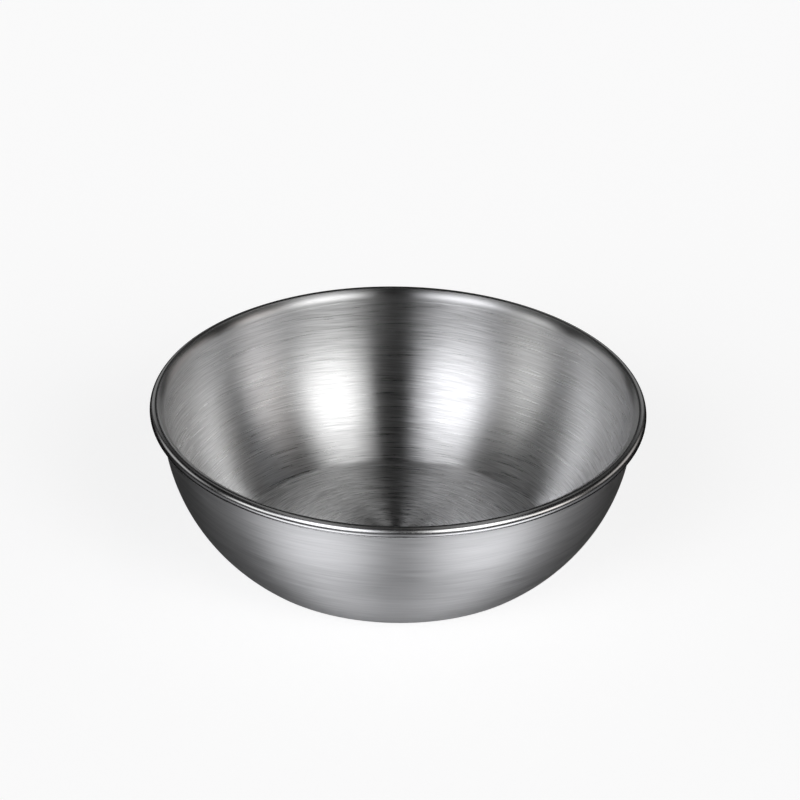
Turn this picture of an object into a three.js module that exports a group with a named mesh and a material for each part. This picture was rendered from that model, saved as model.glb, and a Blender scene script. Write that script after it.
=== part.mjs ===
// Round sauce dipping bowl in stainless steel. Millimetres, +Z up, origin at the centre of the flat base.
//
// The real bowl is one disc of sheet steel. A press draws it into a flat-floored dish with a bellied wall,
// and a second tool curls its edge outwards into a hollow bead, which leaves no sharp edge at the lip.
// So the bowl is one solid: a section of constant thickness, turned about Z. The section is a straight floor
// and four arcs, each tangent to the next: the corner, the wall's belly, the lip and the curl.

import * as THREE from "three";

// Driving dimensions. Diameters and radii are taken on the outside of the bowl.
const RIM_DIAMETER = 80; // over the rolled rim
const HEIGHT = 25.5; // from the table to the top of the rim
const BASE_DIAMETER = 50.5; // the flat that the bowl stands on
const CORNER_RADIUS = 1.5; // where the base turns up into the wall
const WALL_RADIUS = 31; // the belly of the wall, from the corner to the lip
const SHEET = 0.4; // thickness of the steel
const LIP_RADIUS = 1.6; // the rim's inner side, where the wall flares out into the curl
const LIP_TURN = (110 * Math.PI) / 180; // from level outwards, over the top, to where the lip runs into the curl
const CURL_BORE = 1.2; // the hollow inside the curl
const CURL_GAP = 0.15; // between the sheet's cut edge and the wall that it is curled against
const FACET_DEPTH = 0.035; // the most that a flat facet cuts into a round face

// A point of the section: distance from the axis, and height.
function point(r, z) {
  return new THREE.Vector2(r, z);
}

// The number of facets that a round stretch needs.
function facets(radius, turn) {
  const step = 2 * Math.acos(1 - FACET_DEPTH / radius);
  return Math.max(2, Math.ceil(Math.abs(turn) / step));
}

// Points along an arc, both ends included.
function arc(centre, radius, from, to) {
  const count = facets(radius, to - from);
  return Array.from({ length: count + 1 }, (_, i) => {
    const angle = from + ((to - from) * i) / count;
    return point(centre.x + radius * Math.cos(angle), centre.y + radius * Math.sin(angle));
  });
}

// Where a circle about a meets a circle about b, on the left of the way from a to b.
function meeting(a, radiusA, b, radiusB) {
  const way = b.clone().sub(a);
  const distance = way.length();
  const along = (radiusA ** 2 - radiusB ** 2 + distance ** 2) / (2 * distance);
  const aside = Math.sqrt(radiusA ** 2 - along ** 2);
  const forward = way.normalize();
  const left = point(-forward.y, forward.x);
  return a.clone().addScaledVector(forward, along).addScaledVector(left, aside);
}

// The angle at which one point is seen from another.
function bearing(from, to) {
  return Math.atan2(to.y - from.y, to.x - from.x);
}

// The sheet's section as a closed outline, from the axis out along the underside and back along the inside.
function sheetSection() {
  const curlRadius = CURL_BORE / 2 + SHEET;
  const cornerCentre = point(BASE_DIAMETER / 2, CORNER_RADIUS);
  const curlCentre = point(RIM_DIAMETER / 2 - curlRadius, HEIGHT - curlRadius);
  const lipWay = point(Math.cos(LIP_TURN), Math.sin(LIP_TURN));
  const lipCentre = curlCentre.clone().addScaledVector(lipWay, curlRadius - LIP_RADIUS);

  // The belly touches the corner arc from outside and the lip from inside, so its centre lies on two circles.
  const wallToLip = WALL_RADIUS - SHEET + LIP_RADIUS;
  const wallCentre = meeting(cornerCentre, WALL_RADIUS - CORNER_RADIUS, lipCentre, wallToLip);
  const down = -Math.PI / 2;
  const foot = bearing(wallCentre, cornerCentre);
  const neck = bearing(wallCentre, lipCentre);

  // The lip leaves the wall's top. The curl goes on from it, outwards and down, and stops a gap short of the wall.
  const reach = WALL_RADIUS + CURL_GAP;
  const wallToCurl = wallCentre.distanceTo(curlCentre);
  const wallSide = (reach ** 2 - wallToCurl ** 2 - curlRadius ** 2) / (2 * wallToCurl * curlRadius);
  const lipStart = neck + Math.PI;
  const curlEnd = bearing(wallCentre, curlCentre) - Math.acos(wallSide);

  const underside = [
    point(0, 0),
    ...arc(cornerCentre, CORNER_RADIUS, down, foot),
    ...arc(wallCentre, WALL_RADIUS, foot, neck).slice(1),
    ...arc(lipCentre, LIP_RADIUS - SHEET, lipStart, LIP_TURN).slice(1),
    ...arc(curlCentre, CURL_BORE / 2, LIP_TURN, curlEnd).slice(1),
  ];
  const inside = [
    ...arc(curlCentre, curlRadius, curlEnd, LIP_TURN),
    ...arc(lipCentre, LIP_RADIUS, LIP_TURN, lipStart).slice(1),
    ...arc(wallCentre, WALL_RADIUS - SHEET, neck, foot).slice(1),
    ...arc(cornerCentre, CORNER_RADIUS - SHEET, foot, down).slice(1),
    point(0, SHEET),
  ];
  return [...underside, ...inside];
}

// The section turned about the bowl's axis. A multiple of four facets gives the rim its full width along X and Y.
function bowlGeometry() {
  const quarter = facets(RIM_DIAMETER / 2, Math.PI / 2);
  return new THREE.LatheGeometry(sheetSection(), 4 * quarter);
}

function stainlessSteel() {
  return new THREE.MeshStandardMaterial({ color: 0xb4b5b7, roughness: 0.35, metalness: 1 });
}

const bowl = new THREE.Mesh(bowlGeometry(), stainlessSteel());
bowl.name = "bowl";
bowl.rotation.x = Math.PI / 2; // a lathe turns about Y, and the bowl's axis is Z

const sauceBowl = new THREE.Group();
sauceBowl.name = "sauce_bowl";
sauceBowl.add(bowl);

export default sauceBowl;
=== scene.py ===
import math

import bpy
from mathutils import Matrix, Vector


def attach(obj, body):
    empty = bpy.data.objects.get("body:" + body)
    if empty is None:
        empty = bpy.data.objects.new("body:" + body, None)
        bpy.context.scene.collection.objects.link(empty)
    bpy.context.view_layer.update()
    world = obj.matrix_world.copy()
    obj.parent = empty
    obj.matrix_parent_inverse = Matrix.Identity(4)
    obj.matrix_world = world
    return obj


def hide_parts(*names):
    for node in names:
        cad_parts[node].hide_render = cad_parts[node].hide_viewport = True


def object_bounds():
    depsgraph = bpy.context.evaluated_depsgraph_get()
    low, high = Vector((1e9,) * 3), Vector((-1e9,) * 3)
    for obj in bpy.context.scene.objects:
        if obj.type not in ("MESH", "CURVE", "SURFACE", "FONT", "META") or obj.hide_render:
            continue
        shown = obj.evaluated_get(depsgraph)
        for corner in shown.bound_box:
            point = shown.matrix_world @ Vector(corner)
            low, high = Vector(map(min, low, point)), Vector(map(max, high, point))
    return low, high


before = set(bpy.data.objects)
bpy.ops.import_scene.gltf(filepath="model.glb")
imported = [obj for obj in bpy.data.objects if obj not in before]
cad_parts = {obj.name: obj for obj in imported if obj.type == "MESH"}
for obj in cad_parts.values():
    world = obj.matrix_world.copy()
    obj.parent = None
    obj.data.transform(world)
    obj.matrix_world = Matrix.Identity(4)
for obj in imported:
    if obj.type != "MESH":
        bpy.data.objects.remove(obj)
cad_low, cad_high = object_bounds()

# The bowl is one disc of stainless sheet, drawn in a press to a flat floor and a bellied wall.
# Its edge is curled outwards over a ring tool into a hollow bead, and the cut edge is tucked under it.
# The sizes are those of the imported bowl: rim and height come from it, the rest are repeated here in metres.
RIM_RADIUS = (cad_high.x - cad_low.x) / 2
HEIGHT = cad_high.z
BASE_RADIUS = 0.02525
CORNER_RADIUS = 0.0015
WALL_RADIUS = 0.031
SHEET = 0.0004
LIP_RADIUS = 0.0016
LIP_TURN = math.radians(110)  # from level outwards, over the top, to where the lip runs into the curl
CURL_BORE = 0.0012
CURL_GAP = 0.00015
CREASE_WIDTH = 0.00035  # the crease that the curling tool leaves inside, under the lip
CREASE_DEPTH = 0.00003
CREASE_STEPS = 10
FLOOR_STEP = 0.0012
FACET_DEPTH = 0.0000025  # the most that a facet of an arc cuts into the round
FACETS_ROUND = 288
SHARP_EDGE = math.radians(40)
OUTSIDE, CURL, LIP, INSIDE = 0, 1, 2, 3  # the finishes, in the order of the bowl's materials


def arc(centre, radius, start, end):
    """Points (distance from the axis, height) along an arc, both ends included."""
    step = 2 * math.acos(1 - FACET_DEPTH / radius)
    count = max(2, math.ceil(abs(end - start) / step))
    angles = [start + (end - start) * i / count for i in range(count + 1)]
    return [(centre.x + radius * math.cos(a), centre.y + radius * math.sin(a)) for a in angles]


def creased_arc(centre, radius, start, end):
    """Points along a short arc with a shallow round groove pressed into it, both ends included."""
    points = []
    for i in range(CREASE_STEPS + 1):
        share = i / CREASE_STEPS
        angle = start + (end - start) * share
        deep = radius + CREASE_DEPTH * math.sin(math.pi * share) ** 2
        points.append((centre.x + deep * math.cos(angle), centre.y + deep * math.sin(angle)))
    return points


def floor_points(height, outwards):
    """Points along the flat floor between the axis, left out, and the corner, left out too."""
    count = round(BASE_RADIUS / FLOOR_STEP)
    points = [(BASE_RADIUS * i / count, height) for i in range(1, count)]
    return points if outwards else points[::-1]


def bearing(start, end):
    """The angle at which one point of the section is seen from another."""
    return math.atan2(end.y - start.y, end.x - start.x)


def sheet_section():
    """The sheet's outline, from the underside's centre round the rim to the floor's centre.

    Each point is (distance from the axis, height, finish).
    """
    curl = CURL_BORE / 2 + SHEET
    corner_centre = Vector((BASE_RADIUS, CORNER_RADIUS))
    curl_centre = Vector((RIM_RADIUS - curl, HEIGHT - curl))
    lip_centre = curl_centre + (curl - LIP_RADIUS) * Vector((math.cos(LIP_TURN), math.sin(LIP_TURN)))

    # the wall's arc touches the corner's arc and the lip, so its centre is where two circles meet
    to_corner, to_lip = WALL_RADIUS - CORNER_RADIUS, WALL_RADIUS - SHEET + LIP_RADIUS
    way = lip_centre - corner_centre
    along = (to_corner**2 - to_lip**2 + way.length_squared) / (2 * way.length)
    aside = math.sqrt(to_corner**2 - along**2)
    forward = way.normalized()
    wall_centre = corner_centre + forward * along + Vector((-forward.y, forward.x)) * aside
    foot, neck = bearing(wall_centre, corner_centre), bearing(wall_centre, lip_centre)
    down, lip_start = -math.pi / 2, neck + math.pi

    # the curl stops a gap short of the wall that it is tucked against
    reach = WALL_RADIUS + CURL_GAP
    to_curl = (curl_centre - wall_centre).length
    tuck = math.acos((reach**2 - to_curl**2 - curl**2) / (2 * to_curl * curl))
    curl_end = bearing(wall_centre, curl_centre) - tuck
    inner_wall = WALL_RADIUS - SHEET
    below = neck - CREASE_WIDTH / inner_wall

    outside = [
        *floor_points(0, outwards=True),
        *arc(corner_centre, CORNER_RADIUS, down, foot),
        *arc(wall_centre, WALL_RADIUS, foot, neck)[1:],
    ]
    curled = [
        *arc(lip_centre, LIP_RADIUS - SHEET, lip_start, LIP_TURN)[1:],
        *arc(curl_centre, CURL_BORE / 2, LIP_TURN, curl_end)[1:],
        *arc(curl_centre, curl, curl_end, LIP_TURN),
    ]
    lip = [
        *arc(lip_centre, LIP_RADIUS, LIP_TURN, lip_start)[1:],
        *creased_arc(wall_centre, inner_wall, neck, below)[1:],
    ]
    inside = [
        *arc(wall_centre, inner_wall, below, foot)[1:],
        *arc(corner_centre, CORNER_RADIUS - SHEET, foot, down)[1:],
        *floor_points(SHEET, outwards=False),
    ]
    stretches = ((OUTSIDE, outside), (CURL, curled), (LIP, lip), (INSIDE, inside))
    return [(*point, finish) for finish, points in stretches for point in points]


def turned_sheet(name, section):
    """The section turned about Z into one closed mesh.

    A face takes the finish of the section point that it ends at.
    """
    turn = [2 * math.pi * k / FACETS_ROUND for k in range(FACETS_ROUND)]
    points = [(r * math.cos(t), r * math.sin(t), z) for r, z, _ in section for t in turn]
    faces, finishes = [], []
    for ring in range(1, len(section)):
        for k in range(FACETS_ROUND):
            below, above = (ring - 1) * FACETS_ROUND, ring * FACETS_ROUND
            after = (k + 1) % FACETS_ROUND
            faces.append((below + k, below + after, above + after, above + k))
            finishes.append(section[ring][2])
    underside_centre, floor_centre = len(points), len(points) + 1
    points += [(0, 0, 0), (0, 0, SHEET)]
    last = (len(section) - 1) * FACETS_ROUND
    for k in range(FACETS_ROUND):
        after = (k + 1) % FACETS_ROUND
        faces += [(underside_centre, after, k), (floor_centre, last + k, last + after)]
        finishes += [OUTSIDE, INSIDE]
    mesh = bpy.data.meshes.new(name)
    mesh.from_pydata(points, [], faces)
    mesh.polygons.foreach_set("material_index", finishes)
    mesh.shade_smooth()
    mesh.set_sharp_from_angle(angle=SHARP_EDGE)
    return mesh


bowl = bpy.data.objects.new("bowl_sheet", turned_sheet("bowl_sheet", sheet_section()))
bpy.context.scene.collection.objects.link(bowl)


# Each of the bowl's finishes is the bare steel, worked by a different tool.
# The tools turn with the bowl, so their lines run round it. The lines' sizes are metres on the sheet.
STEEL = (0.63, 0.63, 0.63)
ACROSS_THE_LINES = 0.25  # a quarter turn, so that highlights spread across the brush lines
WANDER_SCALE = 45  # how many times in a metre the lines drift up and down
NOISE_MIDDLE, NOISE_SPREAD = 0.5, 0.25  # most of a noise lies within the spread of its middle
CREST, CREST_EDGE = 0.8, 0.06  # where a line's crest begins, and how softly


def add(tree, kind, *inputs, **settings):
    """A node of that kind with its settings.

    Its inputs are set in order: a socket is linked, and None is left alone.
    """
    made = tree.nodes.new(kind)
    for key, value in settings.items():
        setattr(made, key, value)
    for socket, value in zip(made.inputs, inputs):
        if isinstance(value, bpy.types.NodeSocket):
            tree.links.new(value, socket)
        elif value is not None:
            socket.default_value = value
    return made


def math_node(tree, operation, *inputs):
    return add(tree, "ShaderNodeMath", *inputs, operation=operation).outputs[0]


def vector_node(tree, operation, *inputs):
    return add(tree, "ShaderNodeVectorMath", *inputs, operation=operation).outputs[0]


def scaled(tree, vector, factor):
    return add(tree, "ShaderNodeVectorMath", vector, None, None, factor, operation="SCALE").outputs[0]


def agreement(tree, vector, other):
    return add(tree, "ShaderNodeVectorMath", vector, other, operation="DOT_PRODUCT").outputs["Value"]


def height_of(tree, place):
    return add(tree, "ShaderNodeSeparateXYZ", place).outputs["Z"]


def noise(tree, place, scale, detail, roughness):
    return add(tree, "ShaderNodeTexNoise", place, None, scale, detail, roughness).outputs["Fac"]


def ranged(tree, value, low, high):
    """A noise's values about its middle, spread over a range of the material's own."""
    limits = (NOISE_MIDDLE - NOISE_SPREAD, NOISE_MIDDLE + NOISE_SPREAD, low, high)
    return add(tree, "ShaderNodeMapRange", value, *limits).outputs[0]


def mixed(tree, *parts):
    """The sum of textures, each with its share."""
    total = 0.0
    for value, share in parts:
        total = math_node(tree, "MULTIPLY_ADD", value, share, total)
    return total


def brush_place(tree, wander):
    """A point's place for a turning tool: its direction from the axis, and its way out and up."""
    place = add(tree, "ShaderNodeTexCoord").outputs["Object"]
    flat = vector_node(tree, "MULTIPLY", place, (1, 1, 0))
    around = vector_node(tree, "NORMALIZE", flat)
    radius = add(tree, "ShaderNodeVectorMath", flat, operation="LENGTH").outputs["Value"]
    way = math_node(tree, "ADD", radius, height_of(tree, place))
    drift = noise(tree, place, WANDER_SCALE, detail=1, roughness=0.5)
    return around, math_node(tree, "ADD", way, ranged(tree, drift, -wander, wander))


def brush_lines(tree, around, way, length, width, detail, lean=(0, 0, 0)):
    """Lines round the bowl: noise that changes slowly along the turn and quickly across it.

    A lean tilts the circle of the turn.
    """
    leaned = math_node(tree, "ADD", agreement(tree, around, lean), way)
    quick = add(tree, "ShaderNodeCombineXYZ", 0, 0, math_node(tree, "DIVIDE", leaned, width)).outputs[0]
    where = vector_node(tree, "ADD", scaled(tree, around, RIM_RADIUS / length), quick)
    return noise(tree, where, scale=1, detail=detail, roughness=0.6)


def crests(tree, lines):
    """Only the highest crests of the lines, which are few and far apart."""
    return add(tree, "ShaderNodeMapRange", lines, CREST, CREST + CREST_EDGE, 0, 1).outputs[0]


def shade(tree, grain, depth):
    """The steel's colour, darker and lighter with the grain."""
    return scaled(tree, STEEL, ranged(tree, grain, 1 - depth, 1 + depth))


def steel(name, anisotropy):
    """Bare metal. With anisotropy, its highlights spread across the lines round the bowl."""
    made = bpy.data.materials.new(name)
    made.use_nodes = True
    tree = made.node_tree
    shader = tree.nodes["Principled BSDF"]
    shader.inputs["Metallic"].default_value = 1
    shader.inputs["Anisotropic"].default_value = anisotropy
    shader.inputs["Anisotropic Rotation"].default_value = ACROSS_THE_LINES
    tangent = add(tree, "ShaderNodeTangent", direction_type="RADIAL", axis="Z").outputs[0]
    tree.links.new(tangent, shader.inputs["Tangent"])
    return made, tree, shader


def tilt(tree, shader, along, across):
    """Leans the surface by small slopes along the brush lines and across them, as the lines' facets do."""
    upright = add(tree, "ShaderNodeNewGeometry").outputs["Normal"]
    line = add(tree, "ShaderNodeTangent", direction_type="RADIAL", axis="Z").outputs[0]
    over = vector_node(tree, "CROSS_PRODUCT", upright, line)
    leaned = vector_node(tree, "ADD", upright, scaled(tree, line, along))
    leaned = vector_node(tree, "ADD", leaned, scaled(tree, over, across))
    tree.links.new(vector_node(tree, "NORMALIZE", leaned), shader.inputs["Normal"])


# Outside, a soft wheel leaves a satin surface with faint level lines.
satin, tree, shader = steel("satin_outside", anisotropy=0.5)
around, way = brush_place(tree, wander=0.0004)
fine = brush_lines(tree, around, way, length=0.01, width=0.0003, detail=2)
wide = brush_lines(tree, around, way, length=0.016, width=0.0009, detail=1, lean=(0.001, 0, 0))
grain = mixed(tree, (fine, 0.6), (wide, 0.4))
tree.links.new(shade(tree, grain, depth=0.16), shader.inputs["Base Color"])
tree.links.new(ranged(tree, fine, low=0.38, high=0.48), shader.inputs["Roughness"])
tilt(tree, shader, along=0.0, across=ranged(tree, fine, low=-0.03, high=0.03))

# The curl is buffed smooth, so it shows the lights as clean lines.
buffed, tree, shader = steel("buffed_curl", anisotropy=0)
around, way = brush_place(tree, wander=0.0002)
fine = brush_lines(tree, around, way, length=0.012, width=0.0003, detail=2)
tree.links.new(shade(tree, fine, depth=0.06), shader.inputs["Base Color"])
tree.links.new(ranged(tree, fine, low=0.19, high=0.25), shader.inputs["Roughness"])

# The lip, on the curl's inner side, is brushed round with a fine belt.
belted, tree, shader = steel("brushed_lip", anisotropy=1)
around, way = brush_place(tree, wander=0.0002)
fine = brush_lines(tree, around, way, length=0.012, width=0.0002, detail=2)
tree.links.new(shade(tree, fine, depth=0.1), shader.inputs["Base Color"])
tree.links.new(ranged(tree, fine, low=0.3, high=0.36), shader.inputs["Roughness"])

# Inside, an abrasive pad leaves close lines round the wall and the floor. Its strokes cross at slight
# angles, and hard grains in it leave a few single scratches, bright or dark.
FLOOR_PRESSURE, WALL_PRESSURE = 1.7, 1  # the pad bears harder on the flat floor than on the wall
BRIGHT_SCRATCH, DARK_SCRATCH = 0.06, -0.05  # the share that a scratch adds to the steel's brightness
brushed, tree, shader = steel("brushed_inside", anisotropy=1)
around, way = brush_place(tree, wander=0.0005)
fine = brush_lines(tree, around, way, length=0.006, width=0.00017, detail=2)
strokes = brush_lines(tree, around, way, length=0.009, width=0.00024, detail=2, lean=(0.003, 0.001, 0))
back_lean = (-0.001, 0.003, 0)
back_strokes = brush_lines(tree, around, way, length=0.012, width=0.00034, detail=2, lean=back_lean)
grain = mixed(tree, (fine, 0.35), (strokes, 0.35), (back_strokes, 0.3))

height = height_of(tree, add(tree, "ShaderNodeTexCoord").outputs["Object"])
corner = (SHEET, CORNER_RADIUS, FLOOR_PRESSURE, WALL_PRESSURE)
pressure = add(tree, "ShaderNodeMapRange", height, *corner).outputs[0]
uneven = math_node(tree, "SUBTRACT", grain, NOISE_MIDDLE)
grain = math_node(tree, "MULTIPLY_ADD", uneven, pressure, NOISE_MIDDLE)

scratches = brush_lines(tree, around, way, length=0.006, width=0.0003, detail=0, lean=(0.004, -0.003, 0))
deep_lean = (-0.005, 0.002, 0)
deep_scratches = brush_lines(tree, around, way, length=0.01, width=0.0003, detail=0, lean=deep_lean)
bright_marks = (crests(tree, scratches), BRIGHT_SCRATCH)
dark_marks = (crests(tree, deep_scratches), DARK_SCRATCH)
unmarked = (1.0, 1.0)
marks = mixed(tree, bright_marks, dark_marks, unmarked)
tree.links.new(scaled(tree, shade(tree, grain, depth=0.46), marks), shader.inputs["Base Color"])
tree.links.new(ranged(tree, back_strokes, low=0.25, high=0.35), shader.inputs["Roughness"])
along = ranged(tree, strokes, low=-0.008, high=0.008)
tilt(tree, shader, along, across=ranged(tree, fine, low=-0.02, high=0.02))

for finish in (satin, buffed, belted, brushed):
    bowl.data.materials.append(finish)
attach(bowl, "root")
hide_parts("bowl")


# The floor is plain pale paper, lit from behind so that it is nearly white and the bowl's shadow is faint.
# It is kept out of the steel's reflections, which show the studio instead.
FLOOR_REACH = 30
PAPER_GREY = (0.35, 0.35, 0.35, 1)
PAPER_GLOW = 0.78
floor_mesh = bpy.data.meshes.new("floor")
corners = [(x * FLOOR_REACH, y * FLOOR_REACH, 0) for x, y in ((-1, -1), (1, -1), (1, 1), (-1, 1))]
floor_mesh.from_pydata(corners, [], [(0, 1, 2, 3)])
floor = bpy.data.objects.new("floor", floor_mesh)
bpy.context.scene.collection.objects.link(floor)
floor.visible_glossy = False
paper = bpy.data.materials.new("pale_paper")
paper.use_nodes = True
shader = paper.node_tree.nodes["Principled BSDF"]
shader.inputs["Base Color"].default_value = PAPER_GREY
shader.inputs["Roughness"].default_value = 1
shader.inputs["Specular IOR Level"].default_value = 0
shader.inputs["Emission Color"].default_value = (1, 1, 1, 1)
shader.inputs["Emission Strength"].default_value = PAPER_GLOW
floor_mesh.materials.append(paper)


# The studio is soft light alone. Two softboxes stand in front, left and right of the camera, and a black
# flag hangs between them. Strips stand beside and behind the bowl, dim panels hang above and behind it,
# and the pale table sends light back up. Their angles are degrees from the camera's side and from level.
SOFTBOX = ((35, 18, 13), (31, 18, 14), 3.7)  # (bearing, half, edge), (height, half, edge), strength
FLAG_BEARING, FLAG_HALF_WIDTH, FLAG_EDGE = 0.5, 10.2, 2.5
SIDE_STRIP = ((69, 11, 9), (16, 10, 10), 2.0)
REAR_STRIP = ((108, 10, 10), (18, 8, 8), 0.7)
BACK_STRIP = ((125, 9, 7), (16, 9, 8), 0.6)
OVERHEAD_PANEL = ((105, 54, 8), (71, 8, 4), 0.34)
HIGH_BACK_PANEL = ((156, 13, 6), (56, 10, 8), 0.26)
LOW_BACK_PANEL = ((161, 12, 5), (16, 12, 10), 0.32)
TABLE_FRONT = ((46, 30, 18), (-45, 14, 12), 2.1)
TABLE_SIDE = ((95, 20, 15), (-30, 14, 12), 0.2)
TABLE_UNDER = ((120, 50, 20), (-82, 12, 10), 1.2)
TABLE_MIDDLE = ((0, 30, 15), (-25, 12, 10), 0.3)
STRAY_LIGHT = (0.004, 0.004, 0.004)
STUDIO_TURN = 3  # degrees that the studio stands turned to the right of the camera
WHITE, COOL, WARM = (1, 1, 1), (0.98, 0.985, 1.02), (1.05, 1, 0.97)
LEFT, RIGHT = -1, 1
world = bpy.data.worlds.new("studio")
bpy.context.scene.world = world
world.use_nodes = True
studio = world.node_tree
sight = add(studio, "ShaderNodeTexCoord").outputs["Generated"]
level = vector_node(studio, "NORMALIZE", vector_node(studio, "MULTIPLY", sight, (1, 1, 0)))
rise = math_node(studio, "ARCSINE", height_of(studio, sight))


def within(away, half, edge):
    """1 inside an angle of half each way, falling smoothly to 0 across the edge."""
    half, edge = math.radians(half), math.radians(edge)
    limits = (half - edge, half + edge, 1, 0)
    return add(studio, "ShaderNodeMapRange", away, *limits, interpolation_type="SMOOTHSTEP").outputs[0]


def aside(middle):
    """The angle round the bowl between the line of sight and a bearing from the camera's side."""
    towards = math.radians(middle + STUDIO_TURN)
    facing = (math.sin(towards), -math.cos(towards), 0)
    return math_node(studio, "ARCCOSINE", agreement(studio, level, facing))


def lit_by(light, panel, tint, side):
    """The light with a panel added on one side of the camera.

    A panel is its bearing and its height, each with a half size and a soft edge, and then its strength.
    """
    (middle, half_width, side_edge), (height, half_height, top_edge), strength = panel
    over = math_node(studio, "ABSOLUTE", math_node(studio, "SUBTRACT", rise, math.radians(height)))
    beside = within(aside(side * middle), half_width, side_edge)
    shape = math_node(studio, "MULTIPLY", beside, within(over, half_height, top_edge))
    glow = math_node(studio, "MULTIPLY", shape, strength)
    return vector_node(studio, "ADD", light, scaled(studio, tint, glow))


light = (0, 0, 0)
for side, tint in ((LEFT, COOL), (RIGHT, WHITE)):
    light = lit_by(light, SOFTBOX, tint, side)
flag = within(aside(FLAG_BEARING), FLAG_HALF_WIDTH, FLAG_EDGE)
light = scaled(studio, light, math_node(studio, "SUBTRACT", 1.0, flag))
for side, tint in ((LEFT, WHITE), (RIGHT, WARM)):
    for strip in (SIDE_STRIP, REAR_STRIP, BACK_STRIP):
        light = lit_by(light, strip, tint, side)
    for panel in (OVERHEAD_PANEL, HIGH_BACK_PANEL, LOW_BACK_PANEL):
        light = lit_by(light, panel, WHITE, side)
    for patch in (TABLE_FRONT, TABLE_SIDE, TABLE_UNDER):
        light = lit_by(light, patch, COOL, side)
light = lit_by(light, TABLE_MIDDLE, COOL, RIGHT)
light = vector_node(studio, "ADD", light, STRAY_LIGHT)
studio.links.new(light, studio.nodes["Background"].inputs["Color"])


# The camera stands well back with a long lens, as the photograph's flat perspective shows.
# It is rolled a little, and its frame is shifted to put the rim's centre where the photograph has it.
CAMERA_DISTANCE = 3.0
CAMERA_HEIGHT_ANGLE = math.radians(29.66)
CAMERA_ROLL = math.radians(1.07)
SENSOR_WIDTH = 36
VIEW_REACH = 100
PICTURE_WIDTH = 800
RIM_CENTRE_PIXEL = (398.2, 405.8)
PIXELS_PER_METRE = 6214
camera_data = bpy.data.cameras.new("camera")
camera = bpy.data.objects.new("camera", camera_data)
bpy.context.scene.collection.objects.link(camera)
back = Vector((0, -math.cos(CAMERA_HEIGHT_ANGLE), math.sin(CAMERA_HEIGHT_ANGLE)))
camera.location = Vector((0, 0, HEIGHT)) + back * CAMERA_DISTANCE
camera.rotation_euler = (-back).to_track_quat("-Z", "Y").to_euler()
camera.rotation_euler.rotate_axis("Z", CAMERA_ROLL)
camera_data.sensor_width = SENSOR_WIDTH
camera_data.lens = SENSOR_WIDTH * PIXELS_PER_METRE * CAMERA_DISTANCE / PICTURE_WIDTH
camera_data.shift_x = (PICTURE_WIDTH / 2 - RIM_CENTRE_PIXEL[0]) / PICTURE_WIDTH
camera_data.shift_y = (RIM_CENTRE_PIXEL[1] - PICTURE_WIDTH / 2) / PICTURE_WIDTH
camera_data.clip_end = VIEW_REACH
bpy.context.scene.camera = camera
bpy.context.scene.view_settings.view_transform = "Standard"
